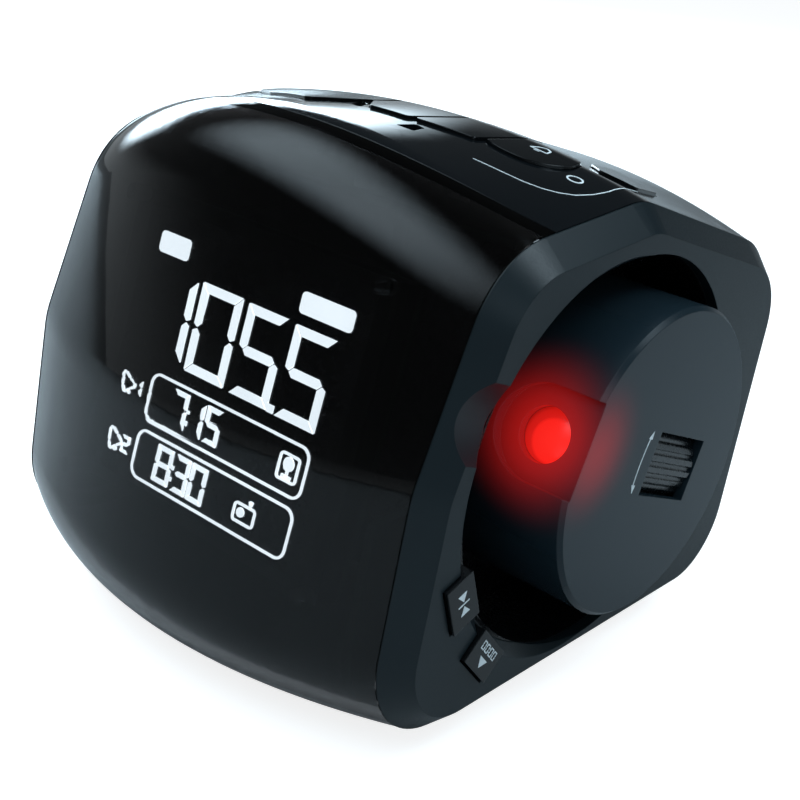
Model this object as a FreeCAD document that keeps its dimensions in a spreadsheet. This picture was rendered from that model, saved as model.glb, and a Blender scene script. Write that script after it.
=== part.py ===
import os
import re

import FreeCAD
import Part
import Sketcher

# A bedside projection alarm clock in millimetres, +Z up, its display facing -Y.
# The origin lies on the table, under the middle of the housing's length.

doc = FreeCAD.newDocument("projection_alarm_clock")
dims = doc.addObject("Spreadsheet::Sheet", "dims")
Vec = FreeCAD.Vector
Rot = FreeCAD.Rotation

# Driving dimensions
SIZES = {
    # Housing: half its length between the side seams, round of its corners, wall and seams
    "core_half": 51.3,
    "corner_round": 20.0,
    "skin": 2.4,
    "seam": 0.3,
    "cap_depth": 4.8,
    "fit_gap": 0.3,
    "touch_gap": 0.05,
    "over": 1.0,
    "cap_mouth": 0.5,
    "cap_inner_draw": 0.6,
    # Centres of the corner rounds at the side seams, from the front underside round to the back
    "end_low_y": -33.3,
    "end_low_z": 23.5,
    "end_face_y": -30.4,
    "end_face_z": 51.4,
    "end_brow_y": -21.1,
    "end_brow_z": 76.9,
    "end_roof_y": 5.2,
    "end_roof_z": 79.7,
    "end_back_y": 47.6,
    "end_back_z": 67.2,
    "end_heel_y": 44.8,
    # The same centres halfway along, where the front, the roof and the back bow out
    "mid_low_y": -46.5,
    "mid_face_y": -43.4,
    "mid_face_z": 51.3,
    "mid_brow_y": -30.3,
    "mid_brow_z": 88.3,
    "mid_roof_y": 5.9,
    "mid_roof_z": 85.4,
    "mid_back_y": 50.1,
    "mid_back_z": 75.0,
    "mid_heel_y": 48.0,
    # Front cover: lean of the display, and the curved seam behind its brow
    "lean": 13.0,
    "part_y": -34.6,
    "part_z": 106.0,
    "part_round": 88.0,
    "roof_split_z": 74.0,
    "split_reach": 160.0,
    # Well in the right side panel, and the trough that lets the beam out
    "well_y": 4.5,
    "well_z": 50.3,
    "well_radius": 40.6,
    "cup_wall": 1.6,
    "cup_floor_x": 31.5,
    "cup_floor": 2.0,
    "trough_x": 64.0,
    "trough_radius": 10.6,
    "trough_start": 24.4,
    "rim_shift": 4.5,
    "rim_radius": 41.0,
    "rim_deep": 3.6,
    "collar_wide": 8.0,
    "trough_pad_wall": 2.0,
    "trough_pad_long": 32.5,
    "trough_pad_reach": 56.8,
    # Projector drum
    "drum_y": 10.0,
    "drum_z": 50.0,
    "drum_radius": 32.0,
    "drum_face_x": 64.0,
    "drum_depth": 26.0,
    "drum_wall": 2.0,
    "drum_edge": 0.8,
    "aim": 20.0,
    "back_plate": 2.0,
    "journal_radius": 8.0,
    "wire_bore": 4.0,
    "journal_depth": 11.0,
    "journal_gap": 0.04,
    "bush_wall": 2.0,
    "bush_flange": 1.2,
    "bush_flange_wide": 4.0,
    "hub_shoulder": 3.0,
    "clip_thick": 1.0,
    "clip_wide": 3.0,
    "groove_deep": 0.8,
    "washer_thick": 0.8,
    # Lens recess and optics, set out from the lens axis
    "lens_x": 54.5,
    "lens_radius": 5.3,
    "lens_thick": 3.0,
    "lens_sink": 0.8,
    "scoop_radius": 9.3,
    "scoop_deep": 2.7,
    "scoop_floor": 2.0,
    "barrel_wall": 1.6,
    "barrel_back_y": -3.5,
    "barrel_bore": 4.7,
    "lens_dome": 12.0,
    "pad_margin": 3.2,
    # Ring that turns the picture, and the window that bares its ribs
    "ring_radius": 9.3,
    "ring_front_y": -3.2,
    "ring_length": 19.0,
    "ring_ribs": 24,
    "rib_groove": 0.7,
    "ring_web": 1.2,
    "ring_nose": 1.8,
    "ring_nose_wall": 1.2,
    "ring_aperture": 1.0,
    "window_gap": 0.5,
    "window_half_z": 6.5,
    "slide_wide": 7.0,
    "slide_tall": 5.0,
    "slide_thick": 0.8,
    "lamp_radius": 5.6,
    "lamp_wall": 1.0,
    "lamp_length": 24.0,
    "lamp_flange": 2.0,
    "lamp_flange_radius": 7.0,
    "lamp_start": 1.1,
    "condenser_y": 3.0,
    "condenser_thick": 3.5,
    "led_radius": 2.5,
    "led_length": 5.0,
    "led_base": 2.0,
    # Keys on the roof
    "key_proud": 0.6,
    "key_thick": 2.2,
    "key_gap": 0.35,
    "key_stem_radius": 1.6,
    "key_board_z": 91.5,
    "board_thick": 1.6,
    "switch_side": 6.0,
    "switch_tall": 2.6,
    "key_travel": 0.8,
    "stem_slack": 0.2,
    "key_post_radius": 2.2,
    "key_corner": 1.0,
    "key_round": 9.4,
    "key_depth": 40.0,
    "key_between": 1.0,
    "notch_corner": 0.5,
    "key_board_left": -41.0,
    "key_board_right": 43.0,
    "key_board_front": -19.0,
    "key_board_back": 33.0,
    "key_post_1_x": -36.0,
    "key_post_1_y": 24.0,
    "key_post_2_x": 10.0,
    "key_post_2_y": 24.0,
    "key_post_3_x": 3.0,
    "key_post_3_y": -15.0,
    # Buttons beside the well, set out around its centre
    "button_inner": 42.6,
    "button_wide": 7.0,
    "button_long": 10.6,
    "button_proud": 0.9,
    "button_flange": 1.2,
    "button_flange_thick": 1.4,
    "button_stem": 2.0,
    "side_switch_tall": 3.5,
    "invert_angle": 201.0,
    "time_angle": 223.0,
    "side_board_drop": 42.6,
    "side_board_wide": 54.8,
    # Display module, set out in the plane of its leaning glass
    "lcd_x": 3.0,
    "lcd_y": -47.8,
    "lcd_z": 58.4,
    "lcd_half_x": 30.0,
    "lcd_half_z": 27.0,
    "lcd_thick": 2.2,
    "frame_border_x": 4.0,
    "frame_border_z": 2.5,
    "backlight_thick": 3.0,
    "post_radius": 1.6,
    "post_length": 22.0,
    # Main board, speaker, backup cells and power socket
    "main_board_z": 20.0,
    "main_left_x": -44.0,
    "main_right_x": 28.0,
    "main_front_y": -26.0,
    "main_back_y": 44.0,
    "boss_radius": 3.4,
    "screw_radius": 1.4,
    "screw_head": 2.7,
    "screw_head_tall": 1.6,
    "screw_length": 8.0,
    "speaker_y": 8.0,
    "speaker_z": 52.0,
    "speaker_radius": 20.0,
    "speaker_rim": 1.5,
    "speaker_cone_radius": 17.0,
    "speaker_deep": 10.0,
    "speaker_wall": 1.0,
    "magnet_radius": 11.0,
    "magnet_thick": 8.0,
    "speaker_cone_wall": 0.6,
    "voice_coil": 5.0,
    "grille_pitch": 5.0,
    "grille_slot": 1.8,
    "grille_half": 17.0,
    "cell_radius": 5.2,
    "cell_length": 44.5,
    "cell_pitch": 12.0,
    "bay_y": 20.0,
    "bay_wall": 1.2,
    "bay_spring": 2.4,
    "contact_thick": 0.6,
    "door_thick": 2.0,
    "door_lip": 1.2,
    "bay_clear_wide": 1.2,
    "bay_clear_tall": 1.6,
    "grip_radius": 3.0,
    "grip_wide": 8.0,
    "grip_sink": 1.8,
    "cell_nub_radius": 2.0,
    "cell_nub": 1.0,
    "cell_slack": 0.2,
    "contact_margin": 0.5,
    "spring_root": 3.2,
    "spring_tip": 2.0,
    "socket_x": -25.0,
    "socket_z": 30.0,
    "socket_side": 9.0,
    "socket_deep": 11.0,
    "socket_nose": 4.4,
    "plug_bore": 2.8,
    "pin_radius": 1.0,
    "pin_length": 9.0,
    "pin_root": 0.5,
    "plug_deep": 7.0,
    "socket_inset": 2.6,
    "socket_collar": 1.4,
    "plug_way": 20.0,
    "foot_radius": 5.0,
    "foot_x": 36.0,
    "foot_front_y": -32.0,
    "foot_back_y": 40.0,
}

# Outlines of the flat keys in plan, corner by corner
KEYS = {
    "key_1": ((-46.0, 3.0), (-31.0, -8.5), (-13.0, -16.5), (-11.0, 0.0), (-13.0, 14.0), (-34.0, 15.0)),
    "key_2": ((-1.9, -9.2), (6.2, -8.9), (5.4, 15.0), (-9.0, 15.0), (-7.6, -2.0)),
    "key_3": ((9.2, -7.8), (19.8, -5.2), (20.8, 15.0), (8.4, 15.0)),
    "key_5": ((33.5, 18.0), (37.8, 14.2), (43.0, 17.5), (41.0, 28.0), (31.0, 30.0)),
}
# Small notches in the roof, in front of the gaps between the keys
NOTCHES = {
    "notch_1": ((-4.1, -11.6), (-6.9, -10.2), (-9.9, -4.6), (-8.0, -5.6)),
    "notch_2": ((12.0, -17.4), (14.6, -16.9), (13.4, -12.8), (11.7, -12.4)),
}
# The stem of each key, over its switch
STEMS = {
    "key_1": (-27.0, 2.0),
    "key_2": (-1.0, 4.0),
    "key_3": (14.5, 4.0),
    "key_4": (27.2, 4.6),
    "key_5": (37.0, 19.5),
}
OUTLINES = {**KEYS, **NOTCHES}
for key, outline in OUTLINES.items():
    for place, (along, back) in enumerate(outline):
        SIZES["%s_p%d_x" % (key, place)] = along
        SIZES["%s_p%d_y" % (key, place)] = back
for key, (along, back) in STEMS.items():
    SIZES["%s_stem_x" % key] = along
    SIZES["%s_stem_y" % key] = back

for row, (alias, value) in enumerate(SIZES.items(), start=1):
    dims.set("A%d" % row, alias)
    dims.set("B%d" % row, str(value))
    dims.setAlias("B%d" % row, alias)
doc.recompute()


def num(alias):
    return float(SIZES[alias])


# Middle of the whole clock, from the left panel's face to the drum's and from front to back
dims.set("A%d" % (len(SIZES) + 1), "centre_x")
dims.set("B%d" % (len(SIZES) + 1), "=(drum_face_x - core_half - seam - cap_depth) / 2")
dims.setAlias("B%d" % (len(SIZES) + 1), "centre_x")
dims.set("A%d" % (len(SIZES) + 2), "centre_y")
dims.set("B%d" % (len(SIZES) + 2), "=(mid_low_y + mid_back_y) / 2")
dims.setAlias("B%d" % (len(SIZES) + 2), "centre_y")
CELLS = set(SIZES) | {"centre_x", "centre_y"}
doc.recompute()


def link(text):
    # Every word that names a size becomes a reference to its cell
    return re.sub(r"[a-z][a-z0-9_]*", lambda m: "dims." + m.group(0) if m.group(0) in CELLS else m.group(0), text)


# A cylinder or cone stands along one of these axes
TURNS = {
    "z": Rot(),
    "x": Rot(Vec(0, 1, 0), 90),
    "-x": Rot(Vec(0, 1, 0), -90),
    "y": Rot(Vec(1, 0, 0), -90),
    "-y": Rot(Vec(1, 0, 0), 90),
}
# A sketch across the housing: its X runs to the back and its Y runs up
ACROSS = Rot(Vec(1, 1, 1), 120)


def seat(obj, at, turn=None):
    obj.Placement = FreeCAD.Placement(Vec(), turn or Rot())
    for axis, text in zip("xyz", at):
        obj.setExpression("Placement.Base." + axis, link(text))
    return obj


def bind(obj, **texts):
    for prop, text in texts.items():
        obj.setExpression(prop, link(text))
    return obj


def box(name, size, at, turn=None):
    obj = doc.addObject("Part::Box", name)
    bind(obj, Length=size[0], Width=size[1], Height=size[2])
    return seat(obj, at, turn)


def rod(name, axis, radius, length, at):
    obj = doc.addObject("Part::Cylinder", name)
    bind(obj, Radius=radius, Height=length)
    return seat(obj, at, TURNS[axis])


def taper(name, axis, start, end, length, at):
    obj = doc.addObject("Part::Cone", name)
    bind(obj, Radius1=start, Radius2=end, Height=length)
    return seat(obj, at, TURNS[axis])


def cut(name, base, *tools):
    obj = doc.addObject("Part::Cut", name)
    obj.Base = base
    obj.Tool = tools[0] if len(tools) == 1 else fuse(name + "_tools", *tools)
    return obj


def fuse(name, *pieces):
    obj = doc.addObject("Part::MultiFuse", name)
    obj.Shapes = list(pieces)
    return obj


def common(name, *pieces):
    obj = doc.addObject("Part::MultiCommon", name)
    obj.Shapes = list(pieces)
    return obj


def group(name, *pieces):
    obj = doc.addObject("Part::Compound", name)
    obj.Links = list(pieces)
    return obj


def loft(name, rings, ruled):
    obj = doc.addObject("Part::Loft", name)
    obj.Sections = list(rings)
    obj.Solid = True
    obj.Ruled = ruled
    return obj


def rounded(name, sketch, radius):
    ring = doc.addObject("Part::Offset2D", name)
    ring.Source = sketch
    ring.Fill = False
    ring.Value = num("corner_round")
    return bind(ring, Value=radius)


NODES = []


def node(obj, label):
    # Every sub-part is set back by the same amount, so that the origin lies under the middle of the whole
    placed = group(label + "_placed", obj)
    obj.Label = label + "_solid"
    seat(placed, ("-centre_x", "-centre_y", "0"))
    placed.Label = label
    NODES.append(placed)
    return obj


# Cross sections of the housing: a hexagon through the centres of its corner rounds
CORNERS = ("low", "face", "brow", "roof", "back", "heel")


def section(name, kind, x_text):
    cells = []
    for corner in CORNERS:
        low = corner in ("low", "heel")
        cells.append(("%s_%s_y" % (kind, corner), "end_low_z" if low else "%s_%s_z" % (kind, corner)))
    points = [Vec(num(y), num(z), 0) for y, z in cells]
    sketch = doc.addObject("Sketcher::SketchObject", name)
    seat(sketch, (x_text, "0", "0"), ACROSS)
    count = len(points)
    for index in range(count):
        sketch.addGeometry(Part.LineSegment(points[index], points[(index + 1) % count]), False)
    for index in range(count):
        sketch.addConstraint(Sketcher.Constraint("Coincident", index, 2, (index + 1) % count, 1))
    for index, (y_cell, z_cell) in enumerate(cells):
        for kind_of, cell in (("DistanceX", y_cell), ("DistanceY", z_cell)):
            at = sketch.addConstraint(Sketcher.Constraint(kind_of, -1, 1, index, 1, num(cell)))
            sketch.setExpression("Constraints[%d]" % at, "dims." + cell)
    return sketch


def skin_loft(name, radius):
    # The pillow form of the housing, drawn in or let out by its corner round
    rings = []
    for side, sketch in (("left", left_end), ("middle", middle), ("right", right_end)):
        rings.append(rounded("%s_%s" % (name, side), sketch, radius))
    return loft(name, rings, False)


left_end = section("left_end", "end", "-core_half")
middle = section("middle", "mid", "0")
right_end = section("right_end", "end", "core_half")
outer = skin_loft("outer_form", "corner_round")
inner = skin_loft("inner_form", "corner_round - skin")
room = skin_loft("room_form", "corner_round - skin - fit_gap")
tube = cut("housing_tube", outer, inner)


# The seam behind the brow bows as the cover does and leans with it: part of an upright round,
# whose inside holds all that is behind the seam
def seam_round(name, grow):
    obj = rod(name, "z", "part_round + (%s)" % grow, "2 * split_reach", ("0", "0", "0"))
    obj.Placement.Rotation = Rot(Vec(1, 0, 0), -num("lean"))
    obj.setExpression("Placement.Base.y", link("part_y + part_round * cos(lean) - split_reach * sin(lean)"))
    obj.setExpression("Placement.Base.z", link("part_z - part_round * sin(lean) - split_reach * cos(lean)"))
    return obj


ahead_size = ("2 * split_reach", "split_reach + part_y + part_round / 2", "2 * split_reach")
ahead_block = box("ahead_block", ahead_size, ("-split_reach", "-split_reach", "-split_reach"))
ahead = cut("ahead_of_seam", ahead_block, seam_round("seam_outside", "seam / 2"))
behind = seam_round("behind_seam", "-seam / 2")
wide = ("2 * split_reach", "2 * split_reach", "split_reach")
above = box("above_split", wide, ("-split_reach", "-split_reach", "roof_split_z + seam / 2"))
below = box("below_split", wide, ("-split_reach", "-split_reach", "roof_split_z - seam / 2 - split_reach"))


# Frames that lean with the display and aim with the drum
def leaning(obj):
    return seat(obj, ("lcd_x", "lcd_y", "lcd_z"), Rot(Vec(1, 0, 0), -num("lean")))


def aimed(obj):
    return seat(obj, ("0", "drum_y", "drum_z"), Rot(Vec(1, 0, 0), -num("aim")))


# Front cover: glossy shell over the display, with four posts that clamp the display frame
posts = []
for side in ("-", ""):
    for rise in ("-", ""):
        name = "display_post_%d" % (len(posts) + 1)
        at = (side + "(lcd_half_x + frame_border_x / 2)", "-post_length - fit_gap",
              rise + "(lcd_half_z + frame_border_z / 2)")
        posts.append(rod(name, "y", "post_radius", "post_length", at))
posts = leaning(fuse("display_posts", *posts))
posts_in = common("posts_inside", posts, outer)
node(fuse("front_cover", common("front_shell", tube, ahead), posts_in), "front_cover")


# Roof: keys follow its crown, proud of it, and drop straight down
key_skin = cut(
    "key_skin",
    skin_loft("key_top_form", "corner_round + key_proud"),
    skin_loft("key_under_form", "corner_round + key_proud - key_thick"),
)


def key_sketch(key):
    count = len(OUTLINES[key])
    sketch = doc.addObject("Sketcher::SketchObject", key + "_outline")
    sketch.setExpression("Placement.Base.z", "dims.key_board_z - dims.key_depth / 2")
    cells = [("%s_p%d_x" % (key, n), "%s_p%d_y" % (key, n)) for n in range(count)]
    points = [Vec(num(x), num(y), 0) for x, y in cells]
    for index in range(count):
        sketch.addGeometry(Part.LineSegment(points[index], points[(index + 1) % count]), False)
    for index in range(count):
        sketch.addConstraint(Sketcher.Constraint("Coincident", index, 2, (index + 1) % count, 1))
    for index, pair in enumerate(cells):
        for kind_of, cell in zip(("DistanceX", "DistanceY"), pair):
            at = sketch.addConstraint(Sketcher.Constraint(kind_of, -1, 1, index, 1, num(cell)))
            sketch.setExpression("Constraints[%d]" % at, "dims." + cell)
    return sketch


def prism(name, ring):
    obj = doc.addObject("Part::Extrusion", name)
    obj.Base = ring
    obj.DirMode = "Custom"
    obj.Dir = Vec(0, 0, 1)
    obj.Solid = True
    return bind(obj, LengthFwd="key_depth")


def stem(key):
    at = (key + "_stem_x", key + "_stem_y", "key_board_z + board_thick + switch_tall + key_travel + stem_slack")
    tall = rod(key + "_stem_rod", "z", "key_stem_radius", "key_depth / 2", at)
    return common(key + "_stem", tall, key_room)


key_room = skin_loft("key_room_form", "corner_round + key_proud - key_thick / 2")
holes = []
for key in KEYS:
    outline = key_sketch(key)
    body = prism(key + "_prism", rounded(key + "_rim", outline, "key_corner"))
    holes.append(prism(key + "_hole", rounded(key + "_hole_rim", outline, "key_corner + key_gap")))
    plate = common(key + "_plate", key_skin, body)
    node(fuse(key, plate, stem(key)), key)
    if key == "key_3":
        beside = prism("beside_key_3", rounded("beside_key_3_rim", outline, "key_corner + key_between"))
        beside_hole = prism("beside_hole", rounded("beside_hole_rim", outline, "key_corner + key_between - key_gap"))
round_at = ("key_4_stem_x", "key_4_stem_y", "key_board_z - key_depth / 2")
# The round key gives way to the flat key on its left
round_key = cut("round_key_prism", rod("round_key_rod", "z", "key_round", "key_depth", round_at), beside)
round_room = rod("round_key_room", "z", "key_round + key_gap", "key_depth", round_at)
holes.append(cut("round_key_hole", round_room, beside_hole))
node(fuse("key_4", common("round_key_plate", key_skin, round_key), stem("key_4")), "key_4")

under_form = skin_loft("notch_floor_form", "corner_round + key_proud - key_thick")
for name in NOTCHES:
    ring = rounded(name + "_rim", key_sketch(name), "notch_corner")
    holes.append(cut(name, prism(name + "_prism", ring), under_form))

board_size = ("key_board_right - key_board_left", "key_board_back - key_board_front", "board_thick")
board_box = box("key_board_box", board_size, ("key_board_left", "key_board_front", "key_board_z"))
# The board stays clear of the well cup, which rises beside it
cup_clear_at = ("cup_floor_x - fit_gap", "well_y", "well_z")
cup_clear = rod("cup_clear", "x", "well_radius + cup_wall + fit_gap", "core_half - cup_floor_x", cup_clear_at)
node(cut("key_board", common("key_board_plate", room, board_box), cup_clear), "key_board")
switches = []
for key in STEMS:
    at = (key + "_stem_x - switch_side / 2", key + "_stem_y - switch_side / 2", "key_board_z + board_thick")
    switches.append(box(key + "_switch", ("switch_side", "switch_side", "switch_tall"), at))
node(group("key_switches", *switches), "key_switches")
key_posts = []
for n in (1, 2, 3):
    at = ("key_post_%d_x" % n, "key_post_%d_y" % n, "key_board_z + board_thick")
    key_posts.append(rod("key_post_%d" % n, "z", "key_post_radius", "key_depth / 2", at))
posts_under = common("key_posts_inside", fuse("key_posts", *key_posts), outer)
roof = common("roof_shell", tube, behind, above)
node(fuse("top_panel", cut("roof_with_holes", roof, *holes), posts_under), "top_panel")


# Rear housing: back and underside, with bosses, the cell bay and a hole for the power plug
shell = common("rear_shell", tube, behind, below)
floor_z = "end_low_z - corner_round"
bay_half = "(cell_length / 2 + contact_thick + bay_spring / 2)"
bay_wide = "(cell_pitch + 2 * cell_radius + bay_clear_wide)"
bay_tall = "(2 * cell_radius + door_thick + bay_clear_tall)"
bay_outer = box(
    "bay_outer",
    ("2 * (%s + bay_wall)" % bay_half, "%s + 2 * bay_wall" % bay_wide, "%s + bay_wall" % bay_tall),
    ("-%s - bay_wall" % bay_half, "bay_y - %s / 2 - bay_wall" % bay_wide, floor_z),
)
bay_inner = box(
    "bay_inner",
    ("2 * " + bay_half, bay_wide, "%s + over" % bay_tall),
    ("-" + bay_half, "bay_y - %s / 2" % bay_wide, floor_z + " - over"),
)
bosses = []
bores = []
screws = []
SCREW_PLACES = []
for along in ("main_left_x", "main_right_x"):
    for back, inset in (("main_front_y", "+"), ("main_back_y", "-")):
        spot = (along + (" + " if along == "main_left_x" else " - ") + "boss_radius", back + inset + "boss_radius")
        SCREW_PLACES.append(spot)
for n, (along, back) in enumerate(SCREW_PLACES, start=1):
    low = floor_z + " + skin / 2"
    bosses.append(rod("boss_%d" % n, "z", "boss_radius", "main_board_z - (%s)" % low, (along, back, low)))
    bore_at = (along, back, "main_board_z - screw_length - over")
    bores.append(rod("boss_bore_%d" % n, "z", "screw_radius + touch_gap", "screw_length + over", bore_at))
    under = "main_board_z + board_thick"
    shank = rod("shank_%d" % n, "z", "screw_radius", "screw_length + board_thick", (along, back, "main_board_z - screw_length"))
    head = rod("head_%d" % n, "z", "screw_head", "screw_head_tall", (along, back, under))
    screws.append(fuse("board_screw_%d" % n, shank, head))
node(group("board_screws", *screws), "board_screws")
socket_back = "mid_heel_y + corner_round"
plug_hole_at = ("socket_x", socket_back + " - 0.6 * plug_way", "socket_z")
plug_hole = rod("plug_hole", "y", "socket_nose + touch_gap", "plug_way", plug_hole_at)
solid_rear = fuse("rear_solid", shell, bay_outer, *bosses)
node(cut("rear_housing", solid_rear, bay_inner, plug_hole, *bores), "rear_housing")

door_at = ("-%s + fit_gap" % bay_half, "bay_y - %s / 2 + fit_gap" % bay_wide, floor_z + " + door_lip / 2")
door = box("door_plate", ("2 * %s - 2 * fit_gap" % bay_half, bay_wide + " - 2 * fit_gap", "door_thick"), door_at)
grip = rod("door_grip", "y", "grip_radius", "grip_wide", ("0", "bay_y - grip_wide / 2", floor_z + " - grip_sink"))
node(cut("battery_door", door, grip), "battery_door")
cell_z = floor_z + " + door_lip / 2 + door_thick + cell_radius + cell_slack"
for n, side in ((1, "-"), (2, "+")):
    back = "bay_y %s cell_pitch / 2" % side
    can = rod("cell_can_%d" % n, "x", "cell_radius", "cell_length - cell_nub", ("-cell_length / 2", back, cell_z))
    nub = rod("cell_nub_%d" % n, "x", "cell_nub_radius", "cell_nub", ("cell_length / 2 - cell_nub", back, cell_z))
    node(fuse("backup_cell_%d" % n, can, nub), "backup_cell_%d" % n)
for name, left_x in (("contact_left", "-%s" % bay_half), ("contact_right", "%s - contact_thick" % bay_half)):
    plate_size = ("contact_thick", bay_wide + " - 2 * contact_margin", "2 * (cell_radius - contact_margin)")
    plate_at = (left_x, "bay_y - %s / 2 + contact_margin" % bay_wide, cell_z + " - cell_radius + contact_margin")
    plate = box(name + "_plate", plate_size, plate_at)
    springs = []
    for side in ("-", "+"):
        inward = "x" if name == "contact_left" else "-x"
        start = left_x + " + contact_thick" if inward == "x" else left_x
        at = (start, "bay_y %s cell_pitch / 2" % side, cell_z)
        spring_name = name + "_spring_" + ("a" if side == "-" else "b")
        springs.append(taper(spring_name, inward, "spring_root", "spring_tip", "bay_spring / 2", at))
    node(fuse(name, plate, *springs), name)

# Power socket behind its hole, with the plug bore and centre pin
nose_back = socket_back + " - skin - socket_inset"
case = box("socket_case", ("socket_side", "socket_deep", "socket_side"),
           ("socket_x - socket_side / 2", nose_back + " - socket_deep", "socket_z - socket_side / 2"))
nose = rod("socket_snout", "y", "socket_nose", "skin + socket_collar", ("socket_x", nose_back, "socket_z"))
bore = rod("plug_bore_cut", "y", "plug_bore", "2 * plug_deep", ("socket_x", nose_back + " - plug_deep", "socket_z"))
pin = rod("socket_pin", "y", "pin_radius", "pin_length", ("socket_x", nose_back + " - plug_deep - pin_root", "socket_z"))
node(fuse("dc_socket", cut("socket_bored", fuse("socket_block", case, nose), bore), pin), "dc_socket")

main_size = ("main_right_x - main_left_x", "main_back_y - main_front_y", "board_thick")
main_plain = box("main_board_plain", main_size, ("main_left_x", "main_front_y", "main_board_z"))
main_holes = []
for n, (along, back) in enumerate(SCREW_PLACES, start=1):
    main_holes.append(rod("main_hole_%d" % n, "z", "screw_radius + touch_gap", "board_thick", (along, back, "main_board_z")))
node(cut("main_board", main_plain, *main_holes), "main_board")

for n, (side, back) in enumerate((("-", "front"), ("", "front"), ("-", "back"), ("", "back")), start=1):
    at = (side + "foot_x", "foot_%s_y" % back, "0")
    node(rod("foot_%d" % n, "z", "foot_radius", floor_z, at), "foot_%d" % n)


# Side panels: a bevelled cap with a hollow back, mirrored for the left
def cap_form(name, side, start, end, draw_in, draw_end):
    rings = []
    for place, radius in ((start, draw_in), (end, draw_end)):
        sketch = section("%s_%s" % (name, "near" if place == start else "far"), "end", "%s(%s)" % (side, place))
        rings.append(rounded(sketch.Name + "_rim", sketch, radius))
    return loft(name, rings, True)


def cap(name, side):
    near = "core_half + seam"
    far = near + " + cap_depth"
    body = cap_form(name + "_outside", side, near, far, "corner_round", "corner_round - cap_depth")
    hollow = cap_form(name + "_hollow", side, near + " - cap_mouth", far + " - skin",
                      "corner_round - skin + cap_mouth", "corner_round - cap_depth - cap_inner_draw")
    return body, hollow


right_body, right_hollow = cap("right_cap", "")
left_body, left_hollow = cap("left_cap", "-")
face_x = "core_half + seam + cap_depth"
well = rod("well_cut", "x", "well_radius", "2 * drum_depth", (face_x + " - drum_depth", "well_y", "well_z"))
trough_at = ("trough_x", "-trough_start", "0")
trough = aimed(group("trough_cut", rod("trough_rod", "-y", "trough_radius", "split_reach / 2", trough_at)))


# Side buttons: each is set out along the radius from the well's centre at its own angle
panel_in = face_x + " - skin"
BUTTONS = {"button_invert": "invert_angle", "button_time": "time_angle"}


def around_well(obj, angle):
    return seat(obj, ("0", "well_y", "well_z"), Rot(Vec(1, 0, 0), num(angle)))


def button_block(name, low_x, high_x, extra, inner_extra):
    size = ("(%s) - (%s)" % (high_x, low_x), "button_wide + (%s) + (%s)" % (extra, inner_extra),
            "button_long + 2 * (%s)" % extra)
    at = (low_x, "button_inner - (%s)" % inner_extra, "-button_long / 2 - (%s)" % extra)
    return box(name, size, at)


flange_low = panel_in + " - fit_gap - button_flange_thick"
button_holes = []
button_rooms = []
side_switches = []
for label, angle in BUTTONS.items():
    cap_block = button_block(label + "_cap", flange_low, face_x + " + button_proud", "0", "0")
    flange = button_block(label + "_flange", flange_low, panel_in + " - fit_gap", "button_flange", "0")
    tip = flange_low + " - button_stem"
    plunger_at = (tip, "button_inner + button_wide / 2", "0")
    plunger = rod(label + "_plunger", "x", "key_stem_radius", "button_stem", plunger_at)
    node(around_well(fuse(label, cap_block, flange, plunger), angle), label)
    hole = button_block(label + "_hole", panel_in + " - over", face_x + " + over", "key_gap", "key_gap")
    button_holes.append(around_well(group(label + "_opening", hole), angle))
    room_behind = button_block(label + "_room", "core_half", panel_in, "button_flange + key_gap", "key_gap")
    button_rooms.append(around_well(group(label + "_pocket", room_behind), angle))
    low = tip + " - key_travel - stem_slack - side_switch_tall"
    switch_at = (low, "button_inner + button_wide / 2 - switch_side / 2", "-switch_side / 2")
    switch = box(label + "_switch_box", ("side_switch_tall", "switch_side", "switch_side"), switch_at)
    side_switches.append(around_well(group(label + "_switch", switch), angle))
node(group("side_switches", *side_switches), "side_switches")
board_x = flange_low + " - button_stem - key_travel - stem_slack - side_switch_tall - board_thick"
board_at = (board_x, "well_y - 2 * well_radius", "well_z - side_board_drop")
board_blank = box("side_board_blank", ("board_thick", "side_board_wide", "well_radius"), board_at)
bite_at = (board_x + " - over", "well_y", "well_z")
board_bite = rod("side_board_bite", "x", "well_radius + cup_wall + fit_gap", "board_thick + 2 * over", bite_at)
node(cut("side_board", common("side_board_plate", room, board_blank), board_bite), "side_board")

# Right side panel: well, trough for the beam and two button openings
pad_size = ("cap_depth * 2", "trough_pad_long", "2 * (trough_radius + trough_pad_wall)")
pad_at = ("core_half", "-trough_pad_reach", "-trough_radius - trough_pad_wall")
pad = aimed(group("trough_pad", box("trough_pad_block", pad_size, pad_at)))
collar_at = ("core_half + seam", "well_y - rim_shift", "well_z")
collar = rod("well_collar", "x", "well_radius + collar_wide", "cap_depth", collar_at)
cup_room_at = ("core_half", "well_y", "well_z")
cup_room = rod("cup_room", "x", "well_radius + cup_wall + fit_gap", panel_in + " - core_half", cup_room_at)
backing = cut("rim_backing", fuse("rim_backing_blank", pad, collar), cup_room, *button_rooms)
pad = common("trough_backing", right_hollow, backing)
right_plate = fuse("right_plate", cut("right_cap_shell", right_body, right_hollow), pad)
mouth_at = ("core_half + seam - cap_mouth", "-split_reach / 2", "0")
right_mouth = box("right_mouth", ("cap_mouth", "split_reach", "split_reach"), mouth_at)
rim_at = (face_x + " - rim_deep", "well_y - rim_shift", "well_z")
slope = taper("rim_slope", "x", "rim_radius - rim_deep", "rim_radius", "rim_deep", rim_at)
node(cut("side_panel_right", right_plate, well, trough, slope, right_mouth, *button_holes), "side_panel_right")

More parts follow.
